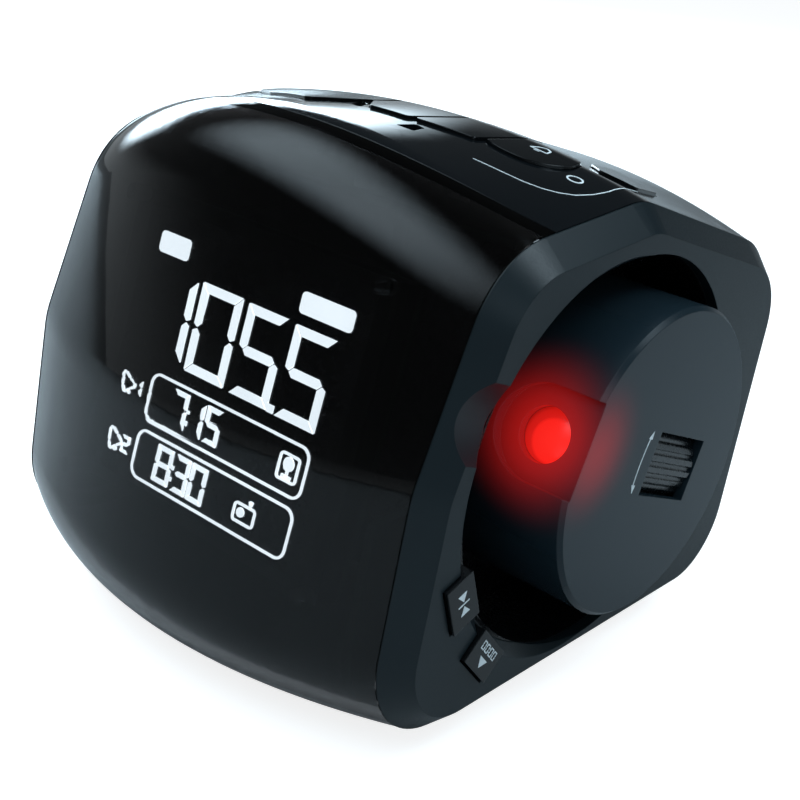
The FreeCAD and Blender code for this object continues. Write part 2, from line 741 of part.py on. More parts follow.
# Left side panel: the same cap with a round grille of slots in front of the speaker
slots = []
SLOTS = 7
for n in range(SLOTS):
    off = "(%d * grille_pitch)" % (n - SLOTS // 2)
    half = "sqrt(grille_half ^ 2 - %s ^ 2)" % off
    at = ("-(%s) - over" % face_x, "speaker_y + %s - grille_slot / 2" % off, "speaker_z - %s" % half)
    slots.append(box("grille_slot_%d" % (n + 1), ("skin + 2 * over", "grille_slot", "2 * " + half), at))
node(cut("side_panel_left", left_body, left_hollow, *slots), "side_panel_left")

# Well cup behind the right panel, with the bush that carries the drum
cup_outer = rod("cup_outer", "x", "well_radius + cup_wall", "(%s) - touch_gap - cup_floor_x" % panel_in, ("cup_floor_x", "well_y", "well_z"))
cup_inner = rod("cup_inner", "x", "well_radius", "2 * drum_depth", ("cup_floor_x + cup_floor", "well_y", "well_z"))
bush_outer = "journal_radius + journal_gap + bush_wall"
bush_start = "cup_floor_x - cup_floor"
bush_length = "2 * cup_floor"
bush_seat = rod("bush_seat", "x", bush_outer, "cup_floor * 2", ("cup_floor_x - cup_floor / 2", "drum_y", "drum_z"))
node(cut("well_cup", cup_outer, cup_inner, bush_seat, trough, slope), "well_cup")
sleeve = rod("bush_sleeve", "x", bush_outer, bush_length, (bush_start, "drum_y", "drum_z"))
flange_at = ("cup_floor_x + cup_floor", "drum_y", "drum_z")
bush_rim = rod("bush_rim", "x", bush_outer + " + bush_flange_wide", "bush_flange", flange_at)
bore_start = (bush_start + " - over", "drum_y", "drum_z")
bush_bore = rod("bush_bore", "x", "journal_radius + journal_gap", bush_length + " + journal_depth", bore_start)
node(cut("drum_bush", fuse("bush_blank", sleeve, bush_rim), bush_bore), "drum_bush")
washer_at = (bush_start + " - touch_gap - washer_thick", "drum_y", "drum_z")
washer_disc = rod("washer_disc", "x", "journal_radius + clip_wide", "washer_thick", washer_at)
washer_hole = rod("washer_hole", "x", "journal_radius + 2 * journal_gap", "washer_thick", washer_at)
node(cut("friction_washer", washer_disc, washer_hole), "friction_washer")

# Projector drum: shell, back plate with the journal, and the clip that keeps it in
drum_start = "drum_face_x - drum_depth"
axis_y = "0"
barrel = rod("drum_barrel", "x", "drum_radius", "drum_depth - drum_edge", (drum_start, axis_y, axis_y))
rim = taper("drum_rim", "x", "drum_radius", "drum_radius - drum_edge", "drum_edge", ("drum_face_x - drum_edge", axis_y, axis_y))
hollow_at = (drum_start + " - over", axis_y, axis_y)
hollow = rod("drum_hollow", "x", "drum_radius - drum_wall", "drum_depth - drum_wall + over", hollow_at)
scoop_y = "drum_radius - scoop_deep"
pad_box = box(
    "lens_pad_box",
    ("drum_face_x - drum_wall / 2 - lens_x + scoop_radius + pad_margin", "scoop_floor + scoop_deep", "2 * (scoop_radius + pad_margin)"),
    ("lens_x - scoop_radius - pad_margin", "-drum_radius", "-scoop_radius - pad_margin"),
)
pad_round = rod("lens_pad_round", "x", "drum_radius - drum_wall / 2", "drum_depth", (drum_start, axis_y, axis_y))
lens_pad = common("lens_pad", pad_box, pad_round)
scoop_end = rod("scoop_end", "-y", "scoop_radius", "scoop_deep * 2", ("lens_x", "-(%s)" % scoop_y, axis_y))
scoop_way = box("scoop_way", ("scoop_radius * 2", "scoop_deep * 2", "2 * scoop_radius"),
                ("lens_x", "-(%s) - scoop_deep * 2" % scoop_y, "-scoop_radius"))
lens_seat = rod("lens_seat", "-y", "lens_radius + touch_gap", "drum_wall * 4", ("lens_x", "-(%s) + scoop_floor * 2" % scoop_y, axis_y))
window = box(
    "ring_window",
    ("drum_wall * 2", "ring_length + 2 * window_gap", "2 * window_half_z"),
    ("drum_face_x - drum_wall - over", "ring_front_y - window_gap", "-window_half_z"),
)
shell_blank = fuse("drum_blank", cut("drum_cup", fuse("drum_solid", barrel, rim), hollow), lens_pad)
node(aimed(cut("drum_shell", shell_blank, scoop_end, scoop_way, lens_seat, window)), "drum_shell")

hub_low = "cup_floor_x + cup_floor + bush_flange + 4 * touch_gap"
plate = rod("back_disc", "x", "drum_radius - drum_wall - touch_gap", "back_plate", (drum_start, axis_y, axis_y))
shoulder = rod("hub_shoulder_disc", "x", "journal_radius + hub_shoulder", drum_start + " - (%s)" % hub_low, (hub_low, axis_y, axis_y))
journal = rod("journal", "x", "journal_radius", "journal_depth", (drum_start + " - journal_depth", axis_y, axis_y))
wire_at = (drum_start + " - journal_depth - over", axis_y, axis_y)
wire_way = rod("wire_way", "x", "wire_bore", "2 * drum_depth", wire_at)
clip_low = bush_start + " - 2 * touch_gap - washer_thick - clip_thick"
clip_at = (clip_low, axis_y, axis_y)
groove_ring = cut(
    "clip_groove",
    rod("groove_outer", "x", "journal_radius + over", "clip_thick", clip_at),
    rod("groove_inner", "x", "journal_radius - groove_deep", "clip_thick", clip_at),
)
bracket_y = "ring_front_y + ring_web + lamp_start + lamp_length"
bracket = box("lamp_bracket", ("lens_x - (%s) + lamp_radius / 2" % drum_start, "drum_wall", "2 * lamp_flange_radius"),
              (drum_start, bracket_y, "-lamp_flange_radius"))
node(aimed(cut("drum_back", fuse("back_blank", plate, shoulder, journal, bracket), wire_way, groove_ring)), "drum_back")
clip_disc = rod("clip_disc", "x", "journal_radius + clip_wide", "clip_thick", clip_at)
clip_eye = rod("clip_eye", "x", "journal_radius - groove_deep", "clip_thick", clip_at)
clip_gap = box("clip_gap", ("clip_thick", "journal_radius * 2", "journal_radius"), (clip_low, axis_y, "-journal_radius / 2"))
node(aimed(cut("drum_clip", clip_disc, clip_eye, clip_gap)), "drum_clip")

# Optics along the lens axis: lens, barrel, turning ring with its picture slide, lamp tube
def on_axis(name, radius, length, start):
    return rod(name, "y", radius, length, ("lens_x", start, axis_y))


lens_front = "-(%s) + lens_sink" % scoop_y
lens_rod = on_axis("lens_rod", "lens_radius", "lens_thick", lens_front)
dome = doc.addObject("Part::Sphere", "lens_dome_ball")
bind(dome, Radius="lens_dome")
seat(dome, ("lens_x", lens_front + " + lens_dome", axis_y))
node(aimed(common("projector_lens", lens_rod, dome)), "projector_lens")

tube_front = "-(%s) + scoop_floor" % scoop_y
tube_body = on_axis("barrel_body", "lens_radius + barrel_wall", "barrel_back_y - (%s)" % tube_front, tube_front)
lens_step = on_axis("barrel_lens_step", "lens_radius + touch_gap", "lens_sink + lens_thick - scoop_floor", tube_front)
barrel_way = on_axis("barrel_way", "barrel_bore", "drum_radius", tube_front)
nose_room = on_axis("barrel_nose_room", "lamp_radius + touch_gap", "ring_nose + over", "barrel_back_y - ring_nose")
node(aimed(cut("lens_barrel", tube_body, lens_step, barrel_way, nose_room)), "lens_barrel")

ring_blank = fuse(
    "ring_blank",
    on_axis("ring_body", "ring_radius", "ring_length", "ring_front_y"),
    on_axis("ring_snout", "lamp_radius", "ring_nose", "ring_front_y - ring_nose"),
)
ring_bore = on_axis("ring_bore", "lamp_radius + touch_gap", "ring_length", "ring_front_y + ring_web")
snout_bore = on_axis("snout_bore", "lamp_radius - ring_nose_wall", "ring_nose", "ring_front_y - ring_nose")
aperture = box(
    "ring_aperture_cut",
    ("slide_wide - ring_aperture", "ring_web * 3", "slide_tall - ring_aperture"),
    ("lens_x - (slide_wide - ring_aperture) / 2", "ring_front_y - ring_web", "-(slide_tall - ring_aperture) / 2"),
)
grooves = []
RIBS = int(SIZES["ring_ribs"])
for n in range(RIBS):
    turn = "(%d * 360 / ring_ribs)" % n
    at = ("lens_x + (ring_radius + rib_groove / 3) * cos(%s)" % turn, "ring_front_y - over",
          "(ring_radius + rib_groove / 3) * sin(%s)" % turn)
    grooves.append(rod("ring_groove_%d" % (n + 1), "y", "rib_groove", "ring_length + 2 * over", at))
node(aimed(cut("rotate_ring", ring_blank, ring_bore, snout_bore, aperture, *grooves)), "rotate_ring")
slide_at = ("lens_x - slide_wide / 2", "ring_front_y + ring_web", "-slide_tall / 2")
slide = box("image_slide_plate", ("slide_wide", "slide_thick", "slide_tall"), slide_at)
node(aimed(group("image_slide", slide)), "image_slide")

lamp_y = "ring_front_y + ring_web + lamp_start"
lamp_body = on_axis("lamp_body", "lamp_radius", "lamp_length", lamp_y)
lamp_disc = on_axis("lamp_disc", "lamp_flange_radius", "lamp_flange", "%s + lamp_length - lamp_flange" % lamp_y)
lamp_way = on_axis("lamp_way", "lamp_radius - lamp_wall", "lamp_length - lamp_flange", lamp_y)
node(aimed(cut("lamp_tube", fuse("lamp_blank", lamp_body, lamp_disc), lamp_way)), "lamp_tube")
condenser = on_axis("condenser_disc", "lamp_radius - lamp_wall - touch_gap", "condenser_thick", "condenser_y")
node(aimed(group("condenser_lens", condenser)), "condenser_lens")
led_back = "%s + lamp_length - lamp_flange" % lamp_y
led_dome = on_axis("led_dome", "led_radius", "led_length", "%s - led_base - led_length" % led_back)
led_foot = on_axis("led_foot", "lamp_radius - lamp_wall - touch_gap", "led_base", "%s - led_base" % led_back)
node(aimed(fuse("projector_led", led_dome, led_foot)), "projector_led")


# Display module, leaning with the front cover
def slab(name, half_x, half_z, start, thick):
    size = ("2 * (%s)" % half_x, thick, "2 * (%s)" % half_z)
    return box(name, size, ("-(%s)" % half_x, start, "-(%s)" % half_z))


zero = "0"
stack = "lcd_thick + backlight_thick"
glass = slab("glass_slab", "lcd_half_x - touch_gap", "lcd_half_z - touch_gap", zero, "lcd_thick")
node(leaning(group("lcd_glass", glass)), "lcd_glass")
light = slab("light_slab", "lcd_half_x - touch_gap", "lcd_half_z - touch_gap", "lcd_thick", "backlight_thick")
node(leaning(group("backlight_plate", light)), "backlight_plate")
frame_out = slab("frame_out", "lcd_half_x + frame_border_x", "lcd_half_z + frame_border_z", zero, stack)
frame_in = slab("frame_in", "lcd_half_x", "lcd_half_z", "-" + "lcd_thick", stack + " + 2 * lcd_thick")
node(leaning(cut("lcd_frame", frame_out, frame_in)), "lcd_frame")
rear = slab("display_board_slab", "lcd_half_x + frame_border_x", "lcd_half_z + frame_border_z", stack, "board_thick")
node(leaning(group("display_board", rear)), "display_board")

# Speaker behind the grille of the left side panel
left_in = "-(%s)" % panel_in


def on_speaker(name, start, end, length, from_x):
    return taper(name, "x", start, end, length, (from_x, "speaker_y", "speaker_z"))


rim_disc = rod("speaker_rim_disc", "x", "speaker_radius", "speaker_rim", (left_in, "speaker_y", "speaker_z"))
basket = on_speaker("basket_outer", "speaker_cone_radius + speaker_wall", "magnet_radius", "speaker_deep", left_in + " + speaker_rim")
basket_way = on_speaker("basket_inner", "speaker_cone_radius", "magnet_radius - speaker_wall", "speaker_deep", left_in + " + speaker_rim")
rim_way = rod("speaker_rim_way", "x", "speaker_cone_radius", "speaker_rim", (left_in, "speaker_y", "speaker_z"))
node(cut("speaker_frame", fuse("basket_blank", rim_disc, basket), basket_way, rim_way), "speaker_frame")
cone_x = left_in + " + speaker_rim + touch_gap"
cone_length = "speaker_deep - 2 * touch_gap"
cone_outer = on_speaker("cone_outer", "speaker_cone_radius - 4 * touch_gap", "voice_coil", cone_length, cone_x)
cone_inner = on_speaker("cone_inner", "speaker_cone_radius - 4 * touch_gap - speaker_cone_wall", "voice_coil - speaker_cone_wall", cone_length, cone_x)
node(cut("speaker_cone", cone_outer, cone_inner), "speaker_cone")
magnet_at = (left_in + " + speaker_rim + speaker_deep", "speaker_y", "speaker_z")
node(rod("speaker_magnet", "x", "magnet_radius", "magnet_thick", magnet_at), "speaker_magnet")


doc.recompute()
faults = []
for obj in doc.Objects:
    if "Invalid" in obj.State or "Error" in obj.State:
        faults.append("%s is in state %s" % (obj.Name, obj.State))
for obj in NODES:
    if obj.Shape.isNull() or not obj.Shape.isValid():
        faults.append("%s has no valid shape" % obj.Label)
if faults:
    raise RuntimeError("; ".join(faults))
os.makedirs("parts", exist_ok=True)
for obj in NODES:
    obj.Shape.exportStep("parts/%s.step" % obj.Label)
    print("%-18s solids %d volume %9.1f mm3" % (obj.Label, len(obj.Shape.Solids), obj.Shape.Volume))
print("%d nodes" % len(NODES))
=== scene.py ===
import math

import bmesh
import bpy
from mathutils import Matrix, Vector
from mathutils.bvhtree import BVHTree


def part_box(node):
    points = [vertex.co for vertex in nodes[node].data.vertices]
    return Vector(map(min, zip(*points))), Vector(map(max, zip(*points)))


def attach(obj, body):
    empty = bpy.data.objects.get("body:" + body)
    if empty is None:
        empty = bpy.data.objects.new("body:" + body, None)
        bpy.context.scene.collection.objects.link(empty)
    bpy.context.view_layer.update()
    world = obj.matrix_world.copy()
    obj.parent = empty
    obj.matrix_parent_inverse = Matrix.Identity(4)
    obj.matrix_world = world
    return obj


# A bedside projection alarm clock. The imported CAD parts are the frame, and the looks are built round them.
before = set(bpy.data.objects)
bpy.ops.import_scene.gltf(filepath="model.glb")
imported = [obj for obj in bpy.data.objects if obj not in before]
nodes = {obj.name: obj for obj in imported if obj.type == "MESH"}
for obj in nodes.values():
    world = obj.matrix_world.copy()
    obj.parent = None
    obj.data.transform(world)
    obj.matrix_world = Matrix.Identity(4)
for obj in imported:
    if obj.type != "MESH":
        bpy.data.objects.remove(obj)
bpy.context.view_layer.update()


# Camera. It stands in front, to the right and above, and looks down on the clock at about 22 degrees.
# The lens is a short telephoto, and the camera is rolled a little, as the photograph was taken.
camera = bpy.data.objects.new("camera", bpy.data.cameras.new("camera"))
camera.data.lens = 58.98
camera.data.sensor_width = 36.0
camera.data.clip_start = 0.01
right_of_camera = Vector((0.741124, 0.661426, 0.115112))
up_of_camera = Vector((-0.334334, 0.214920, 0.917622))
back_of_camera = Vector((0.582200, -0.718558, 0.380419))
turn = Matrix((right_of_camera, up_of_camera, back_of_camera)).transposed()
camera.matrix_world = Matrix.Translation((0.166837, -0.204952, 0.152557)) @ turn.to_4x4()
bpy.context.scene.collection.objects.link(camera)
bpy.context.scene.camera = camera
bpy.context.scene.view_settings.view_transform = "Standard"


# Roof and back: moulded black ABS, dense and glossy from a polished mould, so that it mirrors the room.
# Its colour drifts a little over the moulding, and its edges catch a thin line of light.
def srgb(text):
    # An sRGB hex colour as linear red, green, blue and alpha
    out = []
    for place in (1, 3, 5):
        part = int(text[place:place + 2], 16) / 255
        out.append(part / 12.92 if part <= 0.04045 else ((part + 0.055) / 1.055) ** 2.4)
    return (*out, 1.0)


def add(finish, kind, settings=None, links=None):
    # Adds one node to a finish: settings are its properties and plain inputs, links feed its other inputs
    new = finish.node_tree.nodes.new(kind)
    for name, value in (settings or {}).items():
        if isinstance(name, str) and hasattr(new, name):
            setattr(new, name, value)
        else:
            new.inputs[name].default_value = value
    for name, source in (links or {}).items():
        finish.node_tree.links.new(source, new.inputs[name])
    return new


def moulded(name, body_colour, worn_colour, roughness, spread, grain_mm, depth_mm, blotch_mm, edge_mm, gloss):
    # A moulded plastic: colour drifts over blotches, roughness follows a grain, and edges are softly rounded
    finish = bpy.data.materials.new(name)
    finish.use_nodes = True
    shader = finish.node_tree.nodes["Principled BSDF"]
    tree = finish.node_tree.links
    place = add(finish, "ShaderNodeTexCoord").outputs["Object"]
    blotch = add(finish, "ShaderNodeTexNoise", {"Scale": 1000 / blotch_mm, "Detail": 3.0}, {"Vector": place})
    grain = add(finish, "ShaderNodeTexNoise", {"Scale": 1000 / grain_mm, "Detail": 2.0}, {"Vector": place})
    colour = add(
        finish,
        "ShaderNodeMix",
        {"data_type": "RGBA", 6: srgb(body_colour), 7: srgb(worn_colour)},
        {0: blotch.outputs["Fac"]},
    )
    rough = add(
        finish,
        "ShaderNodeMapRange",
        {"From Min": 0.3, "From Max": 0.7, "To Min": roughness - spread, "To Max": roughness + spread},
        {"Value": grain.outputs["Fac"]},
    )
    soft_edge = add(finish, "ShaderNodeBevel", {"samples": 4, "Radius": edge_mm / 1000})
    bump = add(
        finish,
        "ShaderNodeBump",
        {"Strength": 0.5, "Distance": depth_mm / 1000},
        {"Height": grain.outputs["Fac"], "Normal": soft_edge.outputs["Normal"]},
    )
    tree.new(colour.outputs[2], shader.inputs["Base Color"])
    tree.new(rough.outputs["Result"], shader.inputs["Roughness"])
    tree.new(bump.outputs["Normal"], shader.inputs["Normal"])
    shader.inputs["IOR"].default_value = 1.5
    shader.inputs["Specular IOR Level"].default_value = gloss
    return finish


def dress(finish, slot_name, *names):
    # The finish goes on whole CAD nodes
    for name in names:
        nodes[name].data.materials.clear()
        nodes[name].data.materials.append(finish)


polished_black = moulded("polished_black_abs", "#07090b", "#0c0f12", 0.08, 0.02, 0.6, 0.002, 24.0, 0.25, 0.3)
dress(polished_black, "piano_black", "top_panel", "rear_housing", "battery_door")


# Front cover: one shell of smoked acrylic, black until something behind it lights up.
# It is moulded over the brow and under the display, and polished, so it mirrors the room as glass does.
# Acrylic has an IOR of 1.49. It is set lower here, to match how dim its reflections are.
smoked_acrylic = bpy.data.materials.new("smoked_acrylic")
smoked_acrylic.use_nodes = True
acrylic = smoked_acrylic.node_tree.nodes["Principled BSDF"]
acrylic.inputs["Base Color"].default_value = srgb("#434547")
acrylic.inputs["Transmission Weight"].default_value = 1.0
acrylic.inputs["IOR"].default_value = 1.32
where = add(smoked_acrylic, "ShaderNodeTexCoord").outputs["Object"]
haze = add(smoked_acrylic, "ShaderNodeTexNoise", {"Scale": 1000 / 30.0, "Detail": 4.0}, {"Vector": where})
haze_rough = add(
    smoked_acrylic,
    "ShaderNodeMapRange",
    {"From Min": 0.35, "From Max": 0.65, "To Min": 0.02, "To Max": 0.05},
    {"Value": haze.outputs["Fac"]},
)
swirl = add(
    smoked_acrylic,
    "ShaderNodeBump",
    {"Strength": 0.2, "Distance": 0.00002},
    {"Height": haze.outputs["Fac"]},
)
smoked_acrylic.node_tree.links.new(haze_rough.outputs["Result"], acrylic.inputs["Roughness"])
smoked_acrylic.node_tree.links.new(swirl.outputs["Normal"], acrylic.inputs["Normal"])
dress(smoked_acrylic, "piano_black", "front_cover")


# Keys on the roof: five flat keys in the same polished black, a shade deeper, proud of the roof.
# They are moulded one by one, and their edges are sharp enough to catch a line of light.
key_black = moulded("polished_key_abs", "#060708", "#0a0c0e", 0.10, 0.02, 0.5, 0.002, 18.0, 0.25, 0.3)
dress(key_black, "key_black", "key_1", "key_2", "key_3", "key_4", "key_5", "button_invert", "button_time")


# Side panels: satin ABS in a dark blue grey, moulded in a finely spark-eroded tool.
# The grain is real at about 0.25 mm, drawn a little coarser so that it shows, and it dulls the mirror.
satin_panel = moulded("satin_side_abs", "#0f171b", "#131d21", 0.33, 0.04, 0.4, 0.006, 16.0, 0.3, 0.2)
dress(satin_panel, "satin_panel", "side_panel_right", "side_panel_left")


# Well and its bush: a cup of plain black ABS, deep and dull, so that the drum seems to float in shadow.
# The bush and its washer are turned from white nylon, and are hidden behind the drum.
well_black = moulded("dull_well_abs", "#050607", "#08090a", 0.28, 0.05, 0.5, 0.004, 12.0, 0.2, 0.25)
dress(well_black, "well_black", "well_cup")
bush_white = moulded("turned_bush_nylon", "#d8d6cc", "#e4e2d8", 0.45, 0.05, 0.8, 0.01, 6.0, 0.1, 0.5)
dress(bush_white, "bush_white", "drum_bush", "friction_washer")


# Projector drum: smooth grey ABS with a fine satin, and a painted red glow from its lens on it.
# The glow is painted as emission over the recess round the lens, strongest at the glass and gone within 20 mm.
drum_grey = moulded("satin_drum_abs_painted_red_glow", "#131d23", "#172329", 0.24, 0.03, 0.4, 0.004, 18.0, 0.3, 0.2)
lens_low, lens_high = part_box("projector_lens")
lens_middle = (lens_low + lens_high) / 2
spot = add(drum_grey, "ShaderNodeTexCoord").outputs["Object"]
reach = add(
    drum_grey,
    "ShaderNodeVectorMath",
    {"operation": "DISTANCE", 1: tuple(lens_middle)},
    {0: spot},
)
painted_glow_falloff = add(
    drum_grey,
    "ShaderNodeMapRange",
    {"interpolation_type": "SMOOTHSTEP", "From Min": 0.0035, "From Max": 0.021, "To Min": 1.0, "To Max": 0.0},
    {"Value": reach.outputs["Value"]},
)
painted_glow = add(drum_grey, "ShaderNodeMath", {"operation": "POWER", 1: 2.2}, {0: painted_glow_falloff.outputs["Result"]})
painted_glow_strength = add(drum_grey, "ShaderNodeMath", {"operation": "MULTIPLY", 1: 0.55}, {0: painted_glow.outputs["Value"]})
drum_shader = drum_grey.node_tree.nodes["Principled BSDF"]
# Painted light: the drum shell is no lamp, and its red glow near the lens is emission painted into its finish.
drum_shader.inputs["Emission Color"].default_value = srgb("#d81a14")
drum_grey.node_tree.links.new(painted_glow_strength.outputs["Value"], drum_shader.inputs["Emission Strength"])
dress(drum_grey, "drum_grey", "drum_shell")
hidden_grey = moulded("plain_drum_abs", "#22282d", "#2a3137", 0.45, 0.06, 0.6, 0.01, 14.0, 0.2, 0.5)
dress(hidden_grey, "drum_grey", "drum_back", "lens_barrel", "lamp_tube")


# Projector lens: a moulded acrylic lens, glowing red from the lamp behind it.
# A brighter disc of light sits a little off its centre, and the rim falls off to a deep red.
lens_red = bpy.data.materials.new("lit_red_lens")
lens_red.use_nodes = True
lens_shader = lens_red.node_tree.nodes["Principled BSDF"]
lens_shader.inputs["Base Color"].default_value = srgb("#8c0f0c")
lens_shader.inputs["IOR"].default_value = 1.49
lens_spot = add(lens_red, "ShaderNodeTexCoord").outputs["Object"]
off_centre = lens_middle + Vector((0.0012, -0.0005, -0.0006))
from_hot = add(
    lens_red,
    "ShaderNodeVectorMath",
    {"operation": "DISTANCE", 1: tuple(off_centre)},
    {0: lens_spot},
)
hot = add(
    lens_red,
    "ShaderNodeValToRGB",
    {},
    {"Fac": add(
        lens_red,
        "ShaderNodeMapRange",
        {"From Min": 0.0, "From Max": 0.0066, "To Min": 0.0, "To Max": 1.0},
        {"Value": from_hot.outputs["Value"]},
    ).outputs["Result"]},
)
hot.color_ramp.elements[0].color = srgb("#ff2a22")
hot.color_ramp.elements[0].position = 0.0
hot.color_ramp.elements[1].color = srgb("#8e0f0b")
hot.color_ramp.elements[1].position = 1.0
for stop, tone in ((0.62, "#f8231c"), (0.70, "#d01a15"), (0.88, "#c01712")):
    element = hot.color_ramp.elements.new(stop)
    element.color = srgb(tone)
ripple = add(lens_red, "ShaderNodeTexNoise", {"Scale": 1000 / 3.0, "Detail": 1.0}, {"Vector": lens_spot})
lens_rough = add(
    lens_red,
    "ShaderNodeMapRange",
    {"To Min": 0.25, "To Max": 0.35},
    {"Value": ripple.outputs["Fac"]},
)
lens_red.node_tree.links.new(hot.outputs["Color"], lens_shader.inputs["Emission Color"])
lens_red.node_tree.links.new(lens_rough.outputs["Result"], lens_shader.inputs["Roughness"])
lens_shader.inputs["Emission Strength"].default_value = 0.95
dress(lens_red, "lens_red", "projector_lens")


# Picture ring: moulded black acetal with ribs, seen through the window in the drum's face.
# A finger turns it there, and its satin skin shows each rib as a thin light line.
ring_black = moulded("ribbed_ring_acetal", "#0b0f11", "#101518", 0.25, 0.04, 0.5, 0.003, 8.0, 0.15, 0.4)
dress(ring_black, "ring_grey", "rotate_ring")


# Small optics inside the drum: a clear moulded condenser, a printed slide and the red lamp.
# They sit in a row behind the lens, held by the barrel, and can't be seen from outside.
clear_acrylic = bpy.data.materials.new("clear_acrylic")
clear_acrylic.use_nodes = True
clear_shader = clear_acrylic.node_tree.nodes["Principled BSDF"]
clear_shader.inputs["Base Color"].default_value = srgb("#f4f6f6")
clear_shader.inputs["Transmission Weight"].default_value = 1.0
clear_shader.inputs["IOR"].default_value = 1.49
clear_spot = add(clear_acrylic, "ShaderNodeTexCoord").outputs["Object"]
clear_noise = add(clear_acrylic, "ShaderNodeTexNoise", {"Scale": 1000 / 4.0}, {"Vector": clear_spot})
clear_rough = add(
    clear_acrylic,
    "ShaderNodeMapRange",
    {"To Min": 0.02, "To Max": 0.08},
    {"Value": clear_noise.outputs["Fac"]},
)
clear_acrylic.node_tree.links.new(clear_rough.outputs["Result"], clear_shader.inputs["Roughness"])
dress(clear_acrylic, "optic_clear", "condenser_lens")
slide_dark = moulded("printed_slide_film", "#16120f", "#1e1815", 0.2, 0.05, 0.4, 0.003, 3.0, 0.05, 0.5)
dress(slide_dark, "slide_dark", "image_slide")
lamp_red = moulded("red_lamp_epoxy", "#b01410", "#c41a14", 0.15, 0.04, 0.8, 0.004, 3.0, 0.1, 0.5)
dress(lamp_red, "led_red", "projector_led")


# Display module and boards: dark glass in a black ABS frame, and a milky light guide behind it.
# The boards are glass fibre with a green mask, and carry small black switches under the keys.
lcd_dark = moulded("dark_display_glass", "#0b0e12", "#0f1318", 0.25, 0.05, 1.0, 0.002, 20.0, 0.1, 0.4)
dress(lcd_dark, "lcd_dark", "lcd_glass")
inner_black = moulded("inner_black_abs", "#0b0c0d", "#111314", 0.6, 0.08, 0.6, 0.01, 10.0, 0.1, 0.3)
dress(inner_black, "inner_black", "lcd_frame", "speaker_frame", "dc_socket")
light_guide = moulded("milky_light_guide", "#c9d2d6", "#d6dee1", 0.4, 0.05, 1.0, 0.005, 10.0, 0.1, 0.5)
dress(light_guide, "light_guide", "backlight_plate")
board_green = moulded("solder_masked_board", "#15402a", "#1b4c33", 0.35, 0.08, 0.9, 0.02, 5.0, 0.1, 0.5)
dress(board_green, "board_green", "display_board", "key_board", "main_board", "side_board")
switch_black = moulded("tact_switch_nylon", "#17181a", "#202225", 0.5, 0.08, 0.5, 0.01, 3.0, 0.1, 0.4)
dress(switch_black, "switch_black", "key_switches", "side_switches")


# Feet: soft black rubber pads, dull and a little dusty at the rim.
# Each is moulded on its own and pressed into a recess in the base.
foot_rubber = moulded("black_foot_rubber", "#151515", "#232323", 0.75, 0.1, 0.7, 0.03, 3.0, 0.3, 0.3)
dress(foot_rubber, "foot_rubber", "foot_1", "foot_2", "foot_3", "foot_4")


# Metal and paper inside: zinc-plated screws, nickel-plated spring contacts and clip, and the speaker's magnet.
# The cone is pressed paper, and the two backup cells have a shrunk plastic wrap.
def plated(name, bright, dull, roughness, scratch_mm):
    # A plated metal: bright, with fine lines left by the tumbling drum
    finish = bpy.data.materials.new(name)
    finish.use_nodes = True
    shader = finish.node_tree.nodes["Principled BSDF"]
    shader.inputs["Metallic"].default_value = 1.0
    place = add(finish, "ShaderNodeTexCoord").outputs["Object"]
    lines = add(finish, "ShaderNodeTexNoise", {"Scale": 1000 / scratch_mm, "Detail": 6.0}, {"Vector": place})
    colour = add(
        finish,
        "ShaderNodeMix",
        {"data_type": "RGBA", 6: srgb(bright), 7: srgb(dull)},
        {0: lines.outputs["Fac"]},
    )
    rough = add(
        finish,
        "ShaderNodeMapRange",
        {"To Min": roughness - 0.08, "To Max": roughness + 0.12},
        {"Value": lines.outputs["Fac"]},
    )
    bump = add(finish, "ShaderNodeBump", {"Strength": 0.3, "Distance": 0.00001}, {"Height": lines.outputs["Fac"]})
    finish.node_tree.links.new(colour.outputs[2], shader.inputs["Base Color"])
    finish.node_tree.links.new(rough.outputs["Result"], shader.inputs["Roughness"])
    finish.node_tree.links.new(bump.outputs["Normal"], shader.inputs["Normal"])
    return finish


zinc_plate = plated("zinc_plated_steel", "#b8bcc0", "#9a9ea3", 0.35, 0.5)
dress(zinc_plate, "screw_steel", "board_screws")
nickel_plate = plated("nickel_spring_steel", "#c8c6bd", "#aeaca3", 0.28, 0.4)
dress(nickel_plate, "spring_steel", "contact_left", "contact_right", "drum_clip")
sintered_magnet = plated("sintered_magnet", "#4a4c4f", "#3a3c3e", 0.45, 0.8)
dress(sintered_magnet, "magnet_iron", "speaker_magnet")
cell_wrap = moulded("cell_shrink_wrap", "#2c4d57", "#355a65", 0.25, 0.05, 1.2, 0.01, 8.0, 0.2, 0.5)
dress(cell_wrap, "cell_wrap", "backup_cell_1", "backup_cell_2")
cone_paper = moulded("pressed_cone_paper", "#232220", "#302e2b", 0.85, 0.08, 0.5, 0.05, 4.0, 0.1, 0.2)
dress(cone_paper, "cone_paper", "speaker_cone")


# Lit display: white segments on the dark glass, behind the smoked cover.
# Figures are bars with pointed ends, and the two alarm rows are framed by rounded outlines.
LEAN = math.radians(13.0)
GLASS_HALF_THICK = 0.0011
glass_low, glass_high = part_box("lcd_glass")
glass_back = Vector((0.0, math.cos(LEAN), -math.sin(LEAN)))
glass_up = Vector((0.0, math.sin(LEAN), math.cos(LEAN)))
glass_front = (glass_low + glass_high) / 2 - glass_back * GLASS_HALF_THICK
glass_front.x = 0.0007
SEGMENT_THICK = 0.0003


def on_glass(along, rise, ahead):
    # A point of the display, in millimetres right and up from its middle, and metres ahead of the glass
    return glass_front + Vector((along / 1000, 0, 0)) + glass_up * (rise / 1000) - glass_back * ahead


